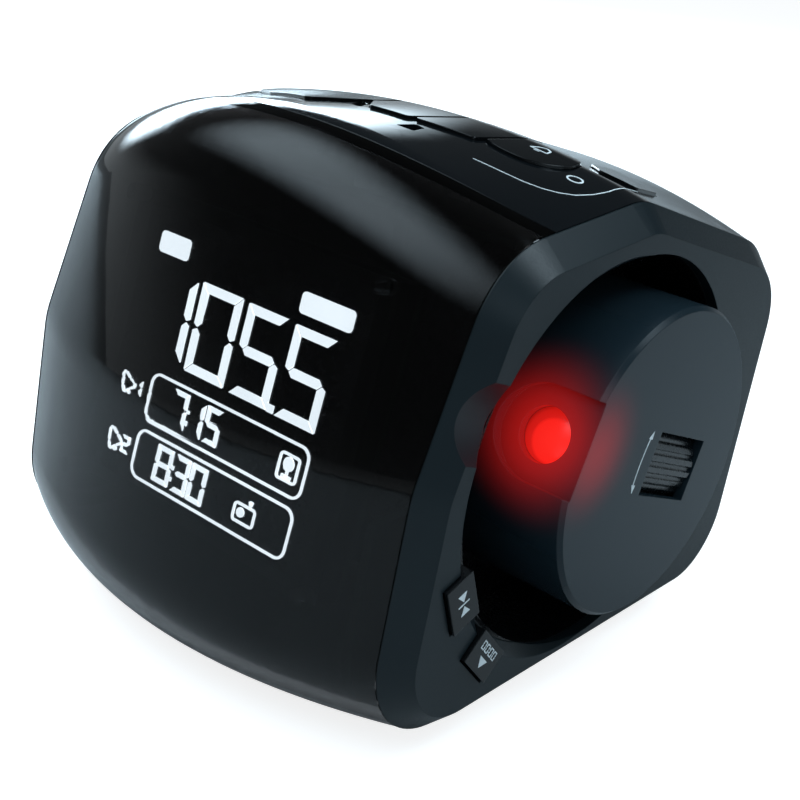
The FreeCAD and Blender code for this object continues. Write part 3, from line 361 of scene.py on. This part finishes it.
def bar(start, end, width):
    # A bar with pointed ends, from start to end
    (u0, v0), (u1, v1) = start, end
    length = math.hypot(u1 - u0, v1 - v0)
    du, dv = (u1 - u0) / length, (v1 - v0) / length
    half = width / 2
    tip = min(half, length / 3)
    near = (u0 + du * tip, v0 + dv * tip)
    far = (u1 - du * tip, v1 - dv * tip)
    return [
        (u0, v0),
        (near[0] + dv * half, near[1] - du * half),
        (far[0] + dv * half, far[1] - du * half),
        (u1, v1),
        (far[0] - dv * half, far[1] + du * half),
        (near[0] - dv * half, near[1] + du * half),
    ]


def figure(which, left, right, low, high, width):
    # The bars of one seven-bar figure in its box, mitred where they meet
    gap = width * 0.1
    half = width / 2
    middle = (low + high) / 2
    l, r, b, t = left, right, low, high
    places = {
        "a": [(l + gap, t), (r - gap, t), (r - width - gap, t - width), (l + width + gap, t - width)],
        "d": [(l + gap, b), (r - gap, b), (r - width - gap, b + width), (l + width + gap, b + width)],
        "g": [(l + half + gap, middle), (l + width + gap, middle + half), (r - width - gap, middle + half),
              (r - half - gap, middle), (r - width - gap, middle - half), (l + width + gap, middle - half)],
        "f": [(l, t - gap), (l, middle + half * 0.7), (l + half, middle + gap),
              (l + width, middle + half + gap), (l + width, t - width - gap)],
        "e": [(l, b + gap), (l, middle - half * 0.7), (l + half, middle - gap),
              (l + width, middle - half - gap), (l + width, b + width + gap)],
        "b": [(r, t - gap), (r, middle + half * 0.7), (r - half, middle + gap),
              (r - width, middle + half + gap), (r - width, t - width - gap)],
        "c": [(r, b + gap), (r, middle - half * 0.7), (r - half, middle - gap),
              (r - width, middle - half - gap), (r - width, b + width + gap)],
    }
    lit = {"0": "abcdef", "1": "bc", "2": "abged", "3": "abgcd", "5": "afgcd", "7": "abc", "8": "abcdefg"}
    return [places[name] for name in lit[which]]


def rounded_ring(left, right, low, high, corner, width):
    # The rounded outline of a row, as short four-sided pieces
    steps = 6
    outer, inner = [], []
    corners = ((right, high, 0), (left, high, 90), (left, low, 180), (right, low, 270))
    for u, v, start in corners:
        cu = u - corner if u == right else u + corner
        cv = v - corner if v == high else v + corner
        for step in range(steps + 1):
            angle = math.radians(start + 90 * step / steps)
            outer.append((cu + corner * math.cos(angle), cv + corner * math.sin(angle)))
            inner.append((cu + (corner - width) * math.cos(angle), cv + (corner - width) * math.sin(angle)))
    pieces = []
    for here in range(len(outer)):
        after = (here + 1) % len(outer)
        pieces.append([outer[here], outer[after], inner[after], inner[here]])
    return pieces


def rounded_plate(left, right, low, high, corner):
    # A filled badge with rounded corners
    ring = rounded_ring(left, right, low, high, corner, corner * 0.5)
    return [[piece[0] for piece in ring]]


def disc(u, v, radius):
    # A filled round of twenty sides
    turns = [math.tau * n / 20 for n in range(20)]
    return [[(u + radius * math.cos(turn), v + radius * math.sin(turn)) for turn in turns]]


def print_piece(name, outlines, place, thick, finish, body):
    # A thin printed or lit mark: each outline becomes a plate that stands on what carries it
    mesh = bpy.data.meshes.new(name)
    work = bmesh.new()
    for outline in outlines:
        area = sum(a[0] * b[1] - b[0] * a[1] for a, b in zip(outline, outline[1:] + outline[:1]))
        loop = outline if area > 0 else outline[::-1]
        front = [work.verts.new(place(u, v, thick)) for u, v in loop]
        back = [work.verts.new(place(u, v, 0.0)) for u, v in loop]
        work.faces.new(front)
        work.faces.new(back[::-1])
        for here in range(len(loop)):
            after = (here + 1) % len(loop)
            work.faces.new((front[here], back[here], back[after], front[after]))
    bmesh.ops.recalc_face_normals(work, faces=work.faces)
    work.to_mesh(mesh)
    work.free()
    piece = bpy.data.objects.new(name, mesh)
    bpy.context.scene.collection.objects.link(piece)
    mesh.materials.append(finish)
    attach(piece, body)
    return piece


lit_white = bpy.data.materials.new("lit_display_segment")
lit_white.use_nodes = True
lit_shader = lit_white.node_tree.nodes["Principled BSDF"]
lit_shader.inputs["Base Color"].default_value = srgb("#e8eef0")
lit_place = add(lit_white, "ShaderNodeTexCoord").outputs["Object"]
lit_noise = add(lit_white, "ShaderNodeTexNoise", {"Scale": 1000 / 14.0}, {"Vector": lit_place})
lit_level = add(
    lit_white,
    "ShaderNodeMapRange",
    {"From Min": 0.3, "From Max": 0.7, "To Min": 16.0, "To Max": 18.0},
    {"Value": lit_noise.outputs["Fac"]},
)
lit_shader.inputs["Emission Color"].default_value = srgb("#f2f8fa")
lit_white.node_tree.links.new(lit_level.outputs["Result"], lit_shader.inputs["Emission Strength"])

def block(left, right, low, high):
    # A plain rectangle, such as a dot of the display
    return [[(left, low), (right, low), (right, high), (left, high)]]


# Widths of the bars of the large and the small figures, and of the lines round the rows, in millimetres
big, small, row_line, row_corner = 1.8, 0.95, 0.5, 2.4
big_figures = (
    figure("1", -18.9, -14.2, -0.3, 15.9, big)
    + figure("0", -12.8, -1.8, -1.1, 16.4, big)
    + figure("5", -0.1, 10.2, -1.1, 16.2, big)
    + block(10.2, 11.8, -1.2, 0.3)
    + figure("5", 12.1, 22.4, -1.2, 16.0, big)
)
print_piece("lit_figures", big_figures, on_glass, SEGMENT_THICK, lit_white, "housing")

row_1 = (
    figure("7", -13.6, -9.4, -12.3, -5.2, small)
    + block(-9.4, -8.7, -8.9, -8.1)
    + block(-9.4, -8.7, -11.2, -10.4)
    + figure("1", -8.6, -4.6, -12.3, -5.4, small)
    + figure("5", -4.1, 0.1, -12.4, -5.2, small)
    + rounded_ring(-20.7, 23.1, -13.9, -3.9, row_corner, row_line)
)
row_2 = (
    figure("8", -14.5, -9.9, -24.1, -16.7, small)
    + block(-9.9, -9.2, -20.2, -19.4)
    + block(-9.9, -9.2, -22.5, -21.7)
    + figure("3", -9.0, -4.8, -24.1, -16.7, small)
    + figure("0", -4.4, 0.0, -24.1, -16.7, small)
    + rounded_ring(-21.0, 22.9, -25.6, -15.4, row_corner, row_line)
)
print_piece("lit_alarm_rows", row_1 + row_2, on_glass, SEGMENT_THICK, lit_white, "housing")

badges = rounded_plate(-26.8, -18.5, 18.6, 22.8, 0.9) + rounded_plate(11.9, 24.8, 18.1, 22.1, 0.9)
print_piece("lit_badges", badges, on_glass, SEGMENT_THICK, lit_white, "housing")


def stroke(points, width):
    # A line through several points, drawn as one bar for each run
    return [bar(a, b, width) for a, b in zip(points, points[1:])]


icons = []
for drop in (0.0, -11.6):
    bell = [(-28.9, -6.9 + drop), (-28.6, -9.6 + drop), (-27.9, -11.1 + drop), (-26.4, -9.9 + drop),
            (-24.8, -8.8 + drop), (-26.6, -7.6 + drop), (-28.2, -6.6 + drop), (-28.9, -6.9 + drop)]
    icons += stroke(bell, 0.55) + disc(-26.5, -10.6 + drop, 0.45)
icons += figure("1", -24.6, -22.9, -10.5, -7.0, 0.7)
icons += figure("2", -25.0, -22.6, -22.2, -18.6, 0.65)
icons += rounded_ring(16.0, 21.2, -11.5, -6.4, 0.9, 0.5)
icons += disc(18.6, -8.3, 1.3) + block(18.3, 18.9, -10.6, -9.4) + block(17.4, 19.8, -10.9, -10.4)
icons += rounded_ring(8.2, 14.0, -23.0, -19.1, 0.9, 0.5) + disc(10.2, -20.9, 0.95)
icons += stroke([(12.3, -19.2), (12.3, -17.9)], 0.9) + stroke([(11.7, -18.2), (12.9, -18.2)], 0.5)
print_piece("lit_icons", icons, on_glass, SEGMENT_THICK, lit_white, "housing")


# Marks on the keys: thin white ink, pad printed, one small sign a key; the fine light line round them is a painted
# highlight along the seam, drawn in the same finish.
# Each mark is dropped straight down onto the moulding that carries it, and stands a hair proud.
ink_and_highlight = moulded("pad_printed_ink_and_painted_highlight", "#b9c2c6", "#cdd5d8", 0.55, 0.08, 0.3, 0.004, 3.0, 0.02, 0.4)
MARK_THICK = 0.00006


def drop_onto(name):
    # Finds the top of a node under a point given in millimetres
    source = nodes[name].data
    tree = BVHTree.FromPolygons([v.co for v in source.vertices], [tuple(p.vertices) for p in source.polygons])

    def place(along, back, proud):
        hit = tree.ray_cast(Vector((along / 1000, back / 1000, 0.2)), Vector((0, 0, -1)))
        return Vector((along / 1000, back / 1000, hit[0].z + proud + 0.00001))

    return place


CENTRE_X, CENTRE_Y = 3.8, 1.8


def in_plan(points):
    # Points measured in the part's own plan, moved to the shared origin
    return [(u - CENTRE_X, v - CENTRE_Y) for u, v in points]


def plan_line(points, width, steps):
    # A thin line, for the prints and the painted seam highlight, that follows the roof, cut short so that each run
    # lies on the curve
    fine = []
    for (u0, v0), (u1, v1) in zip(points, points[1:]):
        for step in range(steps):
            fine.append((u0 + (u1 - u0) * step / steps, v0 + (v1 - v0) * step / steps))
    fine.append(points[-1])
    runs = []
    for (u0, v0), (u1, v1) in zip(fine, fine[1:]):
        length = math.hypot(u1 - u0, v1 - v0)
        du, dv = (u1 - u0) / length * width / 2, (v1 - v0) / length * width / 2
        runs.append([(u0 + dv, v0 - du), (u1 + dv, v1 - du), (u1 - dv, v1 + du), (u0 - dv, v0 + du)])
    return runs


bell_line, seam_highlight_width, sign_line = 0.35, 0.22, 0.4
bell_sign = plan_line(
    in_plan([(26.6, 4.4), (27.3, 6.4), (28.7, 7.3), (30.1, 6.4), (30.6, 4.4), (26.6, 4.4)]), bell_line, 2
)
bell_sign += plan_line(in_plan([(28.0, 3.6), (29.3, 3.6)]), bell_line, 1)
print_piece("round_key_sign", bell_sign, drop_onto("key_4"), MARK_THICK, ink_and_highlight, "key_4_cap")
# Painted highlight: the light line along the seam round the keys is no print; it stands for light caught on the
# seam's edge.
seam_highlight_path = in_plan([(28.7, -15.9), (31.6, -15.0), (35.1, -13.9), (38.2, -12.7), (40.9, -10.9), (43.2, -8.5),
                     (44.9, -5.6), (46.0, -1.5), (46.4, 3.0), (46.0, 9.0), (44.8, 16.0)])
on_roof = drop_onto("top_panel")
seam_highlight_runs = plan_line(seam_highlight_path, seam_highlight_width, 3)
print_piece("painted_roof_seam_highlight", seam_highlight_runs, on_roof, MARK_THICK, ink_and_highlight, "housing")
ring_turns = [math.tau * n / 16 for n in range(17)]
ring_sign = in_plan([(40.4 + 1.5 * math.cos(turn), 0.4 + 1.5 * math.sin(turn)) for turn in ring_turns])
ring_mark = plan_line(ring_sign, sign_line, 1)
print_piece("roof_ring_sign", ring_mark, on_roof, MARK_THICK, ink_and_highlight, "housing")


# Marks on the side: a figure row and an arrow on one button, a flip sign on the other,
# and a two-ended arrow on the drum beside the window of its ring. All are pad printed like the rest.
def push_onto(name, middle, along):
    # Finds the right-hand face of a node: marks are set out from a middle, along a direction and square to it
    source = nodes[name].data
    tree = BVHTree.FromPolygons([v.co for v in source.vertices], [tuple(p.vertices) for p in source.polygons])
    back, rise = along

    def place(u, v, proud):
        y = middle[0] + u * back - v * rise
        z = middle[1] + u * rise + v * back
        hit = tree.ray_cast(Vector((0.2, y / 1000, z / 1000)), Vector((-1, 0, 0)))
        return Vector((hit[0].x + proud + 0.00001, y / 1000, z / 1000))

    return place


# Middle of the well, and how far out and at what angles its two buttons sit
WELL_Y, WELL_Z, BUTTON_RADIUS = 4.5 - CENTRE_Y, 50.3, 46.1
TIME_ANGLE, FLIP_ANGLE = 223.0, 201.0


def at_button(degrees):
    # The middle of a button and the direction along it, round the well
    angle = math.radians(degrees)
    middle = (WELL_Y + BUTTON_RADIUS * math.cos(angle), WELL_Z + BUTTON_RADIUS * math.sin(angle))
    return middle, (-math.sin(angle), math.cos(angle))


time_sign = figure("0", -3.3, -2.0, 0.5, 2.3, 0.25) + figure("0", -1.6, -0.3, 0.5, 2.3, 0.25)
time_sign += figure("0", 0.3, 1.6, 0.5, 2.3, 0.25) + figure("0", 2.0, 3.3, 0.5, 2.3, 0.25)
time_sign += block(-0.12, 0.12, 0.9, 1.15) + block(-0.12, 0.12, 1.65, 1.9)
time_sign += [[(-1.7, -0.4), (0.0, -2.4), (1.7, -0.4)]]
time_place = push_onto("button_time", *at_button(TIME_ANGLE))
print_piece("time_button_sign", time_sign, time_place, MARK_THICK, ink_and_highlight, "button_time_cap")
flip_sign = [[(-2.4, 1.2), (-2.4, -1.2), (-0.5, 0.0)], [(2.4, 1.2), (2.4, -1.2), (0.5, 0.0)]]
flip_sign += block(-0.14, 0.14, -1.5, 1.5)
flip_place = push_onto("button_invert", *at_button(FLIP_ANGLE))
print_piece("invert_button_sign", flip_sign, flip_place, MARK_THICK, ink_and_highlight, "button_invert_cap")

# The arrow lies square to the drum's aim, this far from its middle
AIM = math.radians(20.0)
DRUM_Y, DRUM_Z, ARROW_OUT = 10.0 - CENTRE_Y, 50.0, 7.6
arrow_middle = (DRUM_Y - ARROW_OUT * math.cos(AIM), DRUM_Z + ARROW_OUT * math.sin(AIM))
swing = [math.radians(8 * n) for n in range(-7, 8)]
bend = [(5.88 * math.sin(angle), 0.9 * math.cos(angle) - 0.6) for angle in swing]
turn_sign = plan_line(bend, 0.3, 1)
for (u, v), ahead in ((bend[0], -1), (bend[-1], 1)):
    turn_sign.append([(u + ahead * 1.5, v - 0.5), (u - ahead * 0.2, v + 0.7), (u - ahead * 0.2, v - 0.8)])
turn_place = push_onto("drum_shell", arrow_middle, (math.sin(AIM), math.cos(AIM)))
print_piece("ring_arrow_sign", turn_sign, turn_place, MARK_THICK, ink_and_highlight, "drum")


# Seam shade: thin matte black strips in the joints of the two side panels, set a little below the surface.
# No strip is known to be there. They are painted shade, standing for the shadow in the gap that draws a dark line
# round each panel.
# Painted shade: a near-black, dull finish laid in the joint where there is only shadow.
seam_shade_black = moulded("painted_seam_shade", "#020202", "#040404", 0.9, 0.05, 0.4, 0.02, 3.0, 0.05, 0.1)
# Centres of the housing's corner rounds at its end, back and up, and where the strip lies in the joint
PROFILE = ((-33.3, 23.5), (-30.4, 51.4), (-21.1, 76.9), (5.2, 79.7), (47.6, 67.2), (44.8, 23.5))
JOINT_NEAR, JOINT_FAR, STRIP_OUTSIDE, STRIP_INSIDE = 51.34, 51.56, 19.8, 18.0


def ring_points(radius):
    # The outline of the housing at its end, drawn round its six corner rounds
    points = []
    for step in range(144):
        angle = math.radians(step * 2.5)
        out = (math.cos(angle), math.sin(angle))
        corner = max(PROFILE, key=lambda place: place[0] * out[0] + place[1] * out[1])
        points.append(((corner[0] + radius * out[0] - CENTRE_Y) / 1000, (corner[1] + radius * out[1]) / 1000))
    return points


def lay_seam_shade(name, rings):
    # A closed strip through rings of points, with a wall between each two
    mesh = bpy.data.meshes.new(name)
    work = bmesh.new()
    loops = [[work.verts.new(point) for point in ring] for ring in rings]
    for one, two in zip(loops, loops[1:] + loops[:1]):
        for here in range(len(one)):
            after = (here + 1) % len(one)
            work.faces.new((one[here], one[after], two[after], two[here]))
    bmesh.ops.recalc_face_normals(work, faces=work.faces)
    work.to_mesh(mesh)
    work.free()
    piece = bpy.data.objects.new(name, mesh)
    bpy.context.scene.collection.objects.link(piece)
    mesh.materials.append(seam_shade_black)
    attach(piece, "housing")
    return piece


for side, label in ((1, "right"), (-1, "left")):
    near = (side * JOINT_NEAR - CENTRE_X) / 1000
    far = (side * JOINT_FAR - CENTRE_X) / 1000
    corners = ((near, STRIP_OUTSIDE), (far, STRIP_OUTSIDE), (far, STRIP_INSIDE), (near, STRIP_INSIDE))
    rings = [[(along, y, z) for y, z in ring_points(radius)] for along, radius in corners]
    lay_seam_shade("seam_shade_strip_" + label, rings)


# Floor and light: a plain pale floor that keeps the clock's shadow, and a plain soft studio.
# One soft box stands behind to the left, where the roof mirrors it, and a broad one is over the front.
# Two small ones light the bevel of the right panel and the end of the drum.
floor_mesh = bpy.data.meshes.new("floor")
floor_work = bmesh.new()
bmesh.ops.create_grid(floor_work, x_segments=8, y_segments=8, size=3.0)
floor_work.to_mesh(floor_mesh)
floor_work.free()
floor = bpy.data.objects.new("floor", floor_mesh)
bpy.context.scene.collection.objects.link(floor)
floor_paint = bpy.data.materials.new("pale_floor_paint")
floor_paint.use_nodes = True
floor_shader = floor_paint.node_tree.nodes["Principled BSDF"]
floor_shader.inputs["Base Color"].default_value = srgb("#a6a9ab")
floor_shader.inputs["Roughness"].default_value = 0.6
floor_rays = add(floor_paint, "ShaderNodeLightPath")
floor_seen = add(
    floor_paint,
    "ShaderNodeMath",
    {"operation": "MAXIMUM"},
    {0: floor_rays.outputs["Is Camera Ray"], 1: floor_rays.outputs["Is Transmission Ray"]},
)
floor_lift = add(floor_paint, "ShaderNodeMath", {"operation": "MULTIPLY", 1: 0.82}, {0: floor_seen.outputs["Value"]})
floor_paint.node_tree.links.new(floor_lift.outputs["Value"], floor_shader.inputs["Emission Strength"])
floor_shader.inputs["Emission Color"].default_value = srgb("#ffffff")
floor_mesh.materials.append(floor_paint)

# The backdrop is white to the camera and, near the ground, in reflections. Above that the studio is dim.
world = bpy.data.worlds.new("studio")
bpy.context.scene.world = world
world.use_nodes = True
backdrop = world.node_tree.nodes["Background"]
rays = add(world, "ShaderNodeLightPath")
direct = add(
    world,
    "ShaderNodeMath",
    {"operation": "MAXIMUM"},
    {0: rays.outputs["Is Camera Ray"], 1: rays.outputs["Is Transmission Ray"]},
)
compass = add(world, "ShaderNodeTexCoord")
height = add(world, "ShaderNodeSeparateXYZ", {}, {"Vector": compass.outputs["Generated"]})
mirrored = add(
    world,
    "ShaderNodeMapRange",
    {"interpolation_type": "SMOOTHSTEP", "From Min": 0.0, "From Max": 0.22, "To Min": 0.45, "To Max": 0.05},
    {"Value": height.outputs["Z"]},
)
either = add(
    world,
    "ShaderNodeMix",
    {"data_type": "FLOAT", 2: 0.42},
    {0: rays.outputs["Is Glossy Ray"], 3: mirrored.outputs["Result"]},
)
level = add(
    world,
    "ShaderNodeMix",
    {"data_type": "FLOAT", 3: 1.0},
    {0: direct.outputs["Value"], 2: either.outputs[0]},
)
tone = add(
    world,
    "ShaderNodeMix",
    {"data_type": "RGBA", 6: srgb("#e4f1f8"), 7: srgb("#ffffff")},
    {0: direct.outputs["Value"]},
)
world.node_tree.links.new(level.outputs[0], backdrop.inputs["Strength"])
world.node_tree.links.new(tone.outputs[2], backdrop.inputs["Color"])


def soft_box(name, place, target, wide, tall, watts):
    # A lamp behind cloth: brightest in the middle, fading out to its edges, so that gloss shows no hard frame
    light = bpy.data.lights.new(name, "AREA")
    light.shape = "RECTANGLE"
    light.size = wide
    light.size_y = tall
    light.energy = watts
    light.color = srgb("#d6ebf7")[:3]
    light.use_nodes = True
    across = add(light, "ShaderNodeNewGeometry")
    parts = add(light, "ShaderNodeSeparateXYZ", {}, {"Vector": across.outputs["Parametric"]})
    fades = {}
    fade = {"interpolation_type": "SMOOTHSTEP", "From Min": 0.08, "From Max": 0.5, "To Min": 1.6, "To Max": 0.0}
    for slot, axis in enumerate(("X", "Y")):
        middle = add(light, "ShaderNodeMath", {"operation": "SUBTRACT", 1: 0.5}, {0: parts.outputs[axis]})
        reach = add(light, "ShaderNodeMath", {"operation": "ABSOLUTE"}, {0: middle.outputs["Value"]})
        fades[slot] = add(light, "ShaderNodeMapRange", fade, {"Value": reach.outputs["Value"]}).outputs["Result"]
    cloth = add(light, "ShaderNodeMath", {"operation": "MULTIPLY"}, fades)
    light.node_tree.links.new(cloth.outputs["Value"], light.node_tree.nodes["Emission"].inputs["Strength"])
    box = bpy.data.objects.new(name, light)
    box.location = place
    box.rotation_euler = (Vector(target) - Vector(place)).to_track_quat("-Z", "Y").to_euler()
    box.visible_camera = False
    bpy.context.scene.collection.objects.link(box)


soft_box("back_box", (-1.15, 0.64, 0.36), (0.0, 0.0, 0.08), 1.3, 0.46, 20.0)
soft_box("brow_box", (-0.28, -0.42, 1.02), (0.0, 0.0, 0.06), 2.8, 1.3, 22.0)
soft_box("bevel_box", (0.5, 0.42, 0.95), (0.0, 0.0, 0.06), 0.8, 0.7, 8.0)
soft_box("right_box", (1.15, -0.2, 0.6), (0.0, 0.0, 0.05), 0.8, 0.6, 1.8)
